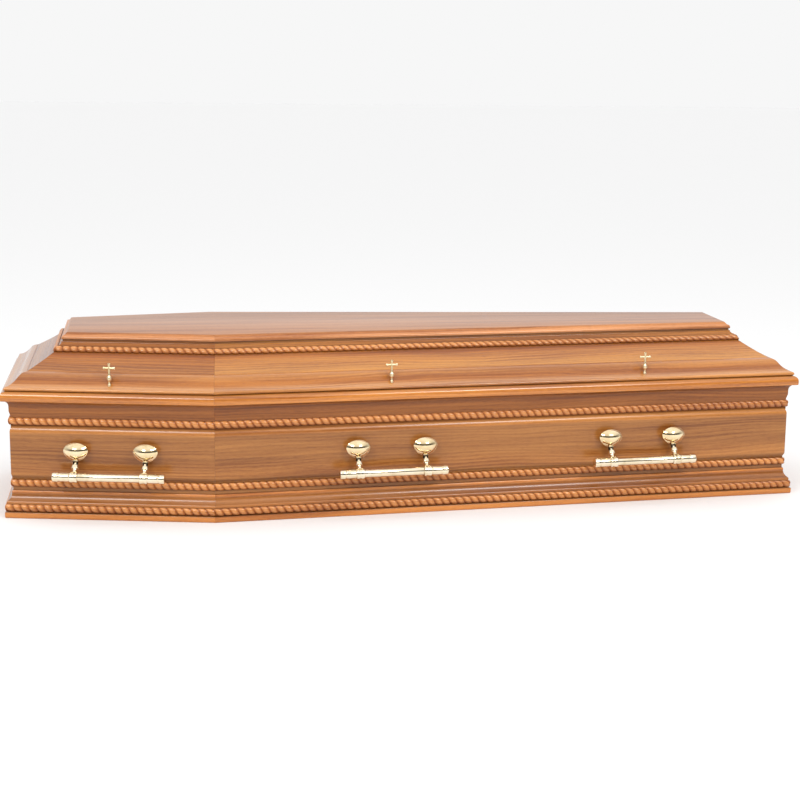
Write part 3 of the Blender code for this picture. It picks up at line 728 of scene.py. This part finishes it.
def knob_parts():
    """Domed shell on a narrow foot, with the lug that holds a handle's pin.

    The rings of the dome are (distance out, share of the outline).
    """
    dome_rings = 18
    brim_out = 0.0204
    brim_share = 0.962
    dome_height = 0.0125
    outline = [knob_outline(2 * math.pi * k / DOME_FACETS) for k in range(DOME_FACETS)]
    rings = [(GAP, 0.47), (0.0022, 0.47), (0.0030, 0.44), (0.0080, 0.56), (0.0140, 0.80),
             (0.0172, 0.955), (0.0180, 0.985), (0.0188, 0.999), (0.0196, 0.996), (0.0202, 0.982),
             (brim_out, brim_share)]
    for k in range(1, dome_rings + 1):
        share = brim_share * math.cos(math.pi / 2 * k / (dome_rings + 0.4))
        rings.append((brim_out + dome_height * (1 - (share / brim_share) ** 2.1), share))
    rows = [[(x * share, -out, z * share) for x, z in outline] for out, share in rings]
    parts = [tube_mesh(np.array(rows))]
    root = [(0.0070, -0.0100), (0.0118, -0.0215), (0.0170, -0.0252), (0.0248, -0.0252),
            (0.0226, -0.0180), (0.0180, -0.0118)]
    parts.append(slab(root, -LUG_HALF, LUG_HALF))
    round_end = [(PIVOT_OUT + math.cos(math.radians(a)) * LUG_RADIUS,
                  -PIVOT_DROP + math.sin(math.radians(a)) * LUG_RADIUS) for a in range(-165, 31, 15)]
    cheek = [(0.0150, -0.0240), *round_end, (0.0246, -0.0240)]
    for start, end in ((-LUG_HALF, -LUG_SLOT_HALF), (LUG_SLOT_HALF, LUG_HALF)):
        parts.append(slab(cheek, start, end))
    pin = [(-0.0064, 0.0004), (-0.0064, 0.0014), (-0.0060, 0.0022), (-0.0056, 0.0022), (-0.0055, 0.0018),
           (0.0055, 0.0018), (0.0056, 0.0022), (0.0060, 0.0022), (0.0064, 0.0014), (0.0064, 0.0004)]
    pivot = Vector((0.0, -PIVOT_OUT, -PIVOT_DROP))
    parts.append(tube_mesh(revolve(pin, PIN_FACETS, pivot, RIGHT, OUT)))
    return parts


def slab(outline, start, end):
    """Plate across the wall from an outline of (out, z), with its rims eased."""
    middle = np.mean(np.array(outline), axis=0)
    ease = 0.0004
    rows = []
    for x, shrink in ((start, 0.95), (start + ease, 1.0), (end - ease, 1.0), (end, 0.95)):
        rows.append([(x, -(middle[0] + (o - middle[0]) * shrink), middle[1] + (z - middle[1]) * shrink)
                     for o, z in outline])
    return tube_mesh(np.array(rows))


def ogee_height(out):
    """Height of the lid frame's upper side at a distance out, from the top of the lip in."""
    line = sorted((o, z) for o, z in lid_frame_section() if OGEE_INSIDE < o < 0.0079 and z > 0.3227)
    return float(np.interp(out, [o for o, _ in line], [z for _, z in line]))


def cross_parts():
    """Cross with flared ends on a turned stem with a ball, its foot sunk to the ogee."""
    base = ogee_height(-CROSS_IN)
    stem_profile = [
        (-0.0010, 0.0004), (-0.0010, 0.0042), (0.0016, 0.0042), (0.0030, 0.0030), (0.0065, 0.0024),
        (0.0095, 0.0029), (0.0118, 0.0044), (0.0145, 0.0057), (0.0180, 0.0062), (0.0208, 0.0054),
        (0.0232, 0.0038), (0.0252, 0.0029), (0.0290, 0.0026), (0.0340, 0.0025), (0.0380, 0.0025),
        (0.0384, 0.0004),
    ]
    stem = revolve(stem_profile, STEM_FACETS, Vector((0.0, 0.0, 0.0)), UP, RIGHT)
    # The two lowest rings, the foot's, follow the ogee
    for row in range(2):
        for k in range(stem.shape[1]):
            stem[row, k, 2] = GAP + ogee_height(-CROSS_IN - stem[row, k, 1]) - base
    parts = [tube_mesh(stem)]
    for direction, across, length, flare in ((UP, RIGHT, 0.0117, 0.0039), (-UP, RIGHT, 0.0085, 0.0032),
                                             (RIGHT, UP, 0.0144, 0.0039), (-RIGHT, UP, 0.0144, 0.0039)):
        parts.append(cross_limb(direction, across, length, flare))
    return parts


def cross_limb(direction, across, length, flare):
    """Limb of a cross from its crossing out, narrow in the middle and flared at the end."""
    profile = [(0.0, 0.0030), (length * 0.50, 0.0027), (length * 0.74, 0.0031), (length * 0.88, flare),
               (length, flare * 0.86), (length + 0.0006, flare * 0.4)]
    thick = direction.cross(across)
    turns = [2 * math.pi * k / LIMB_FACETS for k in range(LIMB_FACETS)]
    rows = []
    for run, wide in profile:
        centre = UP * CROSSING_UP + direction * run
        rows.append([tuple(centre + across * math.cos(turn) * wide + thick * math.sin(turn) * CROSS_HALF)
                     for turn in turns])
    return tube_mesh(np.array(rows))


def stations(on_shoulder_wall, from_shoulder, from_foot):
    """Places of the three fittings on each flank: (flank, number, side, run)."""
    length = side_length(1)
    right = [(0, on_shoulder_wall), (1, from_shoulder), (1, length - from_foot)]
    mirrored = {0: (4, side_length(0)), 1: (3, length)}
    places = [("right", number, side, run) for number, (side, run) in enumerate(right, 1)]
    for number, (side, run) in enumerate(right, 1):
        other, reach = mirrored[side]
        places.append(("left", number, other, reach - run))
    return places


def place_fitting(parts, matrix, material, body, node):
    """Fitting from shells, put in its place in the frame."""
    name = "brass_" + node
    mesh = joined_mesh(name, parts)
    mesh.transform(matrix)
    return finish_piece(name, mesh, material, body, BRASS_SHARP, (node,))


def build_wood():
    """All wooden pieces; the heights of the painted shade and painted highlights are those of the sections'
    grooves, bands, arrises and lips.
    """
    # Painted shade behind the ropes, under the raised panel and under the lid's rim, a painted highlight on
    # the panel's upper arris, and the panel lighter towards its foot
    wall = wood_material("wall wood", (0.352, 0.130, 0.026), 0.36, 0.6, 0.9, (
        (0.0600, 0.85), (0.0740, 0.80), (0.0762, 0.45), (0.0930, 0.45), (0.0955, 0.85), (0.0985, 0.62),
        (0.1040, 0.85), (0.1100, 1.16), (0.1300, 1.10), (0.1500, 0.97), (0.1950, 0.95), (0.2090, 0.90),
        (0.2130, 1.30), (0.2200, (1.42, 1.48, 1.70)), (0.2240, (1.35, 1.42, 1.70)), (0.2262, 0.90),
        (0.2300, (0.56, 0.46, 0.34)), (0.2480, (0.56, 0.46, 0.34)), (0.2505, (0.80, 0.69, 0.54)),
        (0.2625, (0.76, 0.64, 0.48)), (0.2700, (0.82, 0.70, 0.52)), (0.2820, (0.78, 0.63, 0.43)),
        (0.2920, (0.66, 0.52, 0.35))))
    # Painted highlights on the base fillet and on the cap's rounded arris, painted shade behind the rope
    plinth = wood_material("plinth wood", (0.370, 0.128, 0.024), 0.34, 0.7, 0.3, (
        (0.0000, 1.45), (0.0120, 1.60), (0.0148, 0.60), (0.0200, 0.42), (0.0335, 0.42), (0.0350, 0.90),
        (0.0362, 1.10), (0.0405, 1.05), (0.0425, 0.80), (0.0480, 0.92), (0.0590, 0.95), (0.0610, 1.60),
        (0.0650, 1.75), (0.0673, 0.60)))
    # Painted shade in the quirk and on the ogee's steep face, painted highlights on the lip and the ogee's
    # roll, and the rim lighter
    frame_wood = wood_material("lid frame wood", (0.460, 0.158, 0.022), 0.28, 1.0, 0.4, (
        (0.2920, 1.15), (0.2950, 1.20), (0.3050, 1.25), (0.3090, 1.20), (0.3130, 1.00), (0.3148, 1.00),
        (0.3154, 0.45), (0.3172, 0.45), (0.3186, (0.95, 1.00, 1.20)), (0.3240, (1.16, 1.32, 2.00)),
        (0.3290, (1.02, 1.12, 1.60)), (0.3330, (0.86, 0.77, 0.52)), (0.3410, (0.86, 0.77, 0.52)),
        (0.3450, 1.00), (0.3500, (1.04, 1.12, 1.30)), (0.3560, (1.00, 1.02, 1.10))))
    # Painted highlight at the slope's foot, painted shade below and behind the lid's rope and in the groove
    # under the top board
    slope_shading = (
        (0.3400, 0.95), (0.3562, 0.95), (0.3585, (1.06, 1.15, 1.30)), (0.3675, (1.06, 1.14, 1.28)),
        (0.3720, (1.00, 1.00, 0.95)), (0.3830, (0.98, 0.95, 0.76)), (0.3880, (0.88, 0.73, 0.44)),
        (0.3940, (0.60, 0.49, 0.31)), (0.3965, 0.40), (0.4085, 0.40), (0.4105, (0.72, 0.66, 0.50)),
        (0.4140, (0.82, 0.76, 0.60)), (0.4185, 0.80), (0.4192, 0.60), (0.4235, 0.45))
    slope = wood_material("lid slope wood", (0.458, 0.160, 0.017), 0.28, 0.9, 0.9, slope_shading)
    # Darker copy of the slope wood: painted shade on the end and shoulder slopes
    shaded_end_slope = wood_material("lid end slope with painted shade", (0.365, 0.112, 0.009), 0.28, 0.7, 1.0, slope_shading)
    # Painted shade at the underside of the top board's edge, painted highlights on its rounded lip and cove
    top = wood_material("lid top wood", (0.400, 0.160, 0.056), 0.30, 0.40, 0.3, (
        (0.4236, 0.35), (0.4250, 1.00), (0.4290, 1.40), (0.4330, 1.60), (0.4348, (1.38, 1.30, 1.15)),
        (0.4380, (1.20, 1.12, 1.00)), (0.4400, 1.05), (0.4410, 1.10)))
    # Painted shade in the cuts between the lobes and along their edges
    rope = wood_material("rope wood", (0.670, 0.268, 0.074), 0.32, 0.8, 0.1, shade_rope_lobes=True)
    for side, label in enumerate(SIDES):
        board("board_wall_" + label, side, wall_section(), wall, ("wall_" + label,))
        board("board_plinth_" + label, side, plinth_section(), plinth, ("plinth_" + label,))
        board("board_lid_frame_" + label, side, lid_frame_section(), frame_wood,
              ("lid_frame_" + label,))
        long_side = label.startswith("side")
        # The end and shoulder slopes take the copy with painted shade
        board("board_lid_slope_" + label, side, lid_slope_section(),
              slope if long_side else shaded_end_slope, ("lid_slope_" + label,))
    top_board("board_lid_top", top, ("lid_top_board",))
    up = Vector((0.0, 1.0))
    out = Vector((1.0, 0.0))
    lid_up = Vector((-math.sin(LID_ROPE_LEAN), math.cos(LID_ROPE_LEAN)))
    lid_out = Vector((math.cos(LID_ROPE_LEAN), math.sin(LID_ROPE_LEAN)))
    lid_seat = Vector(NECK_FOOT) + lid_up * (LID_ROPE_UP_NECK + LID_ROPE_HALF)
    plinth_seat = Vector((PLINTH_ROPE_SEAT, PLINTH_ROPE_Z))
    lower_seat = Vector((LOWER_BAND, LOWER_ROPE_Z))
    upper_seat = Vector((UPPER_BAND, UPPER_ROPE_Z))
    ropes = [
        ("rope_plinth", plinth_seat, up, out, ROPE_HALF, ROPE_CROWN, "rope_oak"),
        ("rope_lower", lower_seat, up, out, ROPE_HALF, ROPE_CROWN, "rope_oak"),
        ("rope_upper", upper_seat, up, out, ROPE_HALF, ROPE_CROWN, "rope_oak"),
        ("rope_lid", lid_seat, lid_up, lid_out, LID_ROPE_HALF, LID_ROPE_CROWN, "lid_rope_oak"),
    ]
    for node, seat, rope_up, rope_out, half, crown, slot in ropes:
        for side, label in enumerate(SIDES):
            rope_strip(f"{node}_{label}", side, seat, rope_up, rope_out, half, crown, rope, (node,))
    floor_wood = wood_material("floor board wood", (0.46, 0.26, 0.12), 0.6, 0.0)
    board_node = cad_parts["floor_board"]
    board_node.data.materials.clear()
    board_node.data.materials.append(floor_wood)


def build_fittings():
    """All brass pieces."""
    dome_foot = KNOB_Z - KNOB_DROP
    # Painted shade under the dome: the lug and pin below the dome's foot at a tenth of the tone
    knob_brass = brass_material("knob brass", 0.13, (
        (dome_foot - 0.0130, 0.10), (dome_foot, 0.10), (dome_foot + 0.0012, 1.0), (KNOB_Z + 0.0300, 1.0)))
    bar_brass = brass_material("handle brass", 0.15)
    # Crosses duller all over and darker towards the foot
    cross_brass = brass_material("cross brass", 0.32, ((0.30, 0.80), (0.40, 0.90)))
    handle_places = stations(side_length(0) / 2, HANDLE_FROM_SHOULDER, HANDLE_FROM_FOOT)
    for flank, number, side, run in handle_places:
        label = f"{flank}_{number}"
        for suffix, shift in (("a", -KNOB_SPACING / 2), ("b", KNOB_SPACING / 2)):
            place_fitting(knob_parts(), fitting_matrix(side, run + shift, 0.0, KNOB_Z),
                          knob_brass, "coffin", f"knob_{label}{suffix}")
        node = "handle_" + label
        place_fitting(handle_parts(), fitting_matrix(side, run, PIVOT_OUT, KNOB_Z - PIVOT_DROP),
                      bar_brass, node, node)
    cross_places = stations(CROSS_FROM_HEAD, CROSS_FROM_SHOULDER, CROSS_FROM_FOOT)
    for flank, number, side, run in cross_places:
        place_fitting(cross_parts(), fitting_matrix(side, run, -CROSS_IN, ogee_height(-CROSS_IN)),
                      cross_brass, "coffin", f"cross_{flank}_{number}")


def build_camera():
    """Camera of the photograph."""
    right = Vector((math.cos(CAMERA_YAW), math.sin(CAMERA_YAW), 0.0))
    ahead = Vector((-math.sin(CAMERA_YAW), math.cos(CAMERA_YAW), 0.0))
    up = UP * math.cos(CAMERA_DOWN) + ahead * math.sin(CAMERA_DOWN)
    ahead = ahead * math.cos(CAMERA_DOWN) - UP * math.sin(CAMERA_DOWN)
    rolled_right = right * math.cos(CAMERA_ROLL) + up * math.sin(CAMERA_ROLL)
    rolled_up = up * math.cos(CAMERA_ROLL) - right * math.sin(CAMERA_ROLL)
    data = bpy.data.cameras.new("photograph camera")
    data.lens = CAMERA_LENS
    data.sensor_width = CAMERA_SENSOR
    camera = bpy.data.objects.new("photograph camera", data)
    matrix = Matrix((rolled_right, rolled_up, -ahead)).transposed().to_4x4()
    matrix.translation = Vector(CAMERA_PLACE)
    camera.matrix_world = matrix
    bpy.context.scene.collection.objects.link(camera)
    bpy.context.scene.camera = camera


def area_light(name, place, target, size, power):
    """Soft rectangular light aimed at a point."""
    data = bpy.data.lights.new(name, "AREA")
    data.shape = "RECTANGLE"
    data.size, data.size_y = size
    data.energy = power
    light = bpy.data.objects.new(name, data)
    light.location = place
    light.rotation_euler = (Vector(target) - Vector(place)).to_track_quat("-Z", "Y").to_euler()
    bpy.context.scene.collection.objects.link(light)


def build_world():
    """White surroundings for the camera; light that is full overhead and behind and low in front."""
    nodes = Nodes(bpy.data.worlds.new("studio"))
    way = nodes.node("ShaderNodeTexCoord").outputs["Generated"]
    front = nodes.ramp(nodes.part(way, 2), [(0.0, even(FRONT_HORIZON)), (0.34, even(FRONT_HORIZON)),
                                            (0.46, even(0.75)), (0.90, WHOLE)])
    back = nodes.ramp(nodes.part(way, 2), [(0.0, even(0.62)), (0.35, even(0.68)), (0.80, WHOLE)])
    side = nodes.node("ShaderNodeMapRange", Value=nodes.part(way, 1), From_Min=-0.6, From_Max=0.15)
    light = nodes.vector("MULTIPLY", nodes.mix(side.outputs[0], front, back), even(WORLD_LIGHT))
    seen = nodes.node("ShaderNodeLightPath").outputs["Is Camera Ray"]
    nodes.feed(nodes.tree.nodes["Background"], Strength=1.0,
               Color=nodes.mix(seen, light, (*even(WORLD_SEEN), 1.0)))
    bpy.context.scene.world = nodes.owner


def build_stage():
    """Pale floor and soft studio light."""
    reach = 60.0
    below = -0.0002
    corners = [(x * reach, y * reach, below) for x, y in ((-1, -1), (1, -1), (1, 1), (-1, 1))]
    floor = bpy.data.meshes.new("floor")
    floor.from_pydata(corners, [], [(0, 1, 2, 3)])
    pale = Nodes(bpy.data.materials.new("pale floor"))
    floor.materials.append(pale.surface(Base_Color=(0.90, 0.90, 0.90, 1.0), Roughness=0.9))
    made = bpy.data.objects.new("floor", floor)
    bpy.context.scene.collection.objects.link(made)
    build_world()
    key_size = (1.2, 0.8)
    area_light("left key", (-2.3, -3.0, 2.65), (-0.4, 0.0, 0.15), key_size, 53.0)
    area_light("right key", (1.6, -3.1, 2.65), (0.3, 0.0, 0.15), key_size, 54.0)


bpy.context.scene.view_settings.view_transform = "Standard"
build_camera()
build_wood()
build_fittings()
build_stage()
